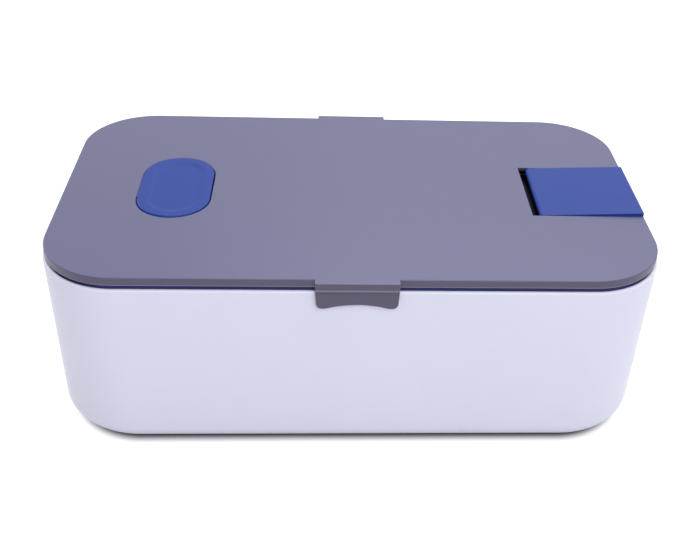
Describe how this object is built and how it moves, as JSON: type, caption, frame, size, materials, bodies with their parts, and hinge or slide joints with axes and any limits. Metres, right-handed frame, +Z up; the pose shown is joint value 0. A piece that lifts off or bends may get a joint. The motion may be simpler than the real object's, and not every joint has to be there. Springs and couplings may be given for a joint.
{
  "type": "electric lunch box",
  "caption": "Slim rectangular heated lunch box with a hinged clip-down lid, steam vent cap, fold-up stand flap and steel food tray.",
  "frame": {"origin": "under the middle of the box, on the surface its feet stand on", "axes": "+X along the length to the right, +Y to the rear where the lid is hinged, +Z up"},
  "size_m": [0.2414, 0.1434, 0.0824],
  "materials": {
    "shell": "fine satin moulding",
    "well": "satin moulding",
    "tray": "pressed stainless sheet",
    "cast_plate": "cast and skimmed",
    "element_case": "extruded case",
    "spring_steel": "rolled strip",
    "thermostat": "drawn cap on a dark moulded body",
    "fuse_sleeve": "woven glass sleeve",
    "lead": "silicone insulation",
    "shield": "rolled sheet",
    "inlet": "fine texture",
    "contact": "plated",
    "lamp": "clear tinted lens",
    "foot": "matte",
    "screw": "zinc plated",
    "lid_grey": "fine satin moulding",
    "seal": "soft silicone",
    "blue_trim": "fine satin moulding",
    "plug": "soft silicone"
  },
  "bodies": {
    "box": {"base_shell": "shell", "inner_well": "well", "food_tray": "tray", "heating_plate": "cast_plate", "heating_elements": "element_case", "heater_clamp": "spring_steel", "thermostat": "thermostat", "thermal_fuse": "fuse_sleeve", "fuse_clip": "spring_steel", "inner_leads": "lead", "heat_shield": "shield", "power_inlet": "inlet", "inlet_pins": "contact", "pilot_lamp": "lamp", "bottom_cover": "shell", "rubber_feet": "foot", "case_screws": "screw", "plate_screws": "screw", "rear_latch": "lid_grey"},
    "lid": {"lid_shell": "lid_grey", "lid_liner": "well", "lid_seal": "seal", "stand_pin": "screw"},
    "front_latch": {"front_latch": "lid_grey"},
    "vent_cap": {"vent_cap": "blue_trim", "vent_plug": "plug"},
    "stand_flap": {"stand_flap": "blue_trim"}
  },
  "joints": [
    {"name": "lid_hinge", "type": "hinge", "parent": "box", "child": "lid", "pos_m": [0, 0.0712, 0.0773], "axis": [-1, 0, 0], "range_deg": [0, 105]},
    {"name": "front_latch_hinge", "type": "hinge", "parent": "lid", "child": "front_latch", "pos_m": [0, -0.0712, 0.0773], "axis": [-1, 0, 0], "range_deg": [0, 100]},
    {"name": "vent_cap_hinge", "type": "hinge", "parent": "lid", "child": "vent_cap", "pos_m": [-0.0893, 0, 0.081], "axis": [0, -1, 0], "range_deg": [0, 110]},
    {"name": "stand_flap_hinge", "type": "hinge", "parent": "lid", "child": "stand_flap", "pos_m": [0.1182, 0, 0.0795], "axis": [0, 1, 0], "range_deg": [0, 95]}
  ]
}
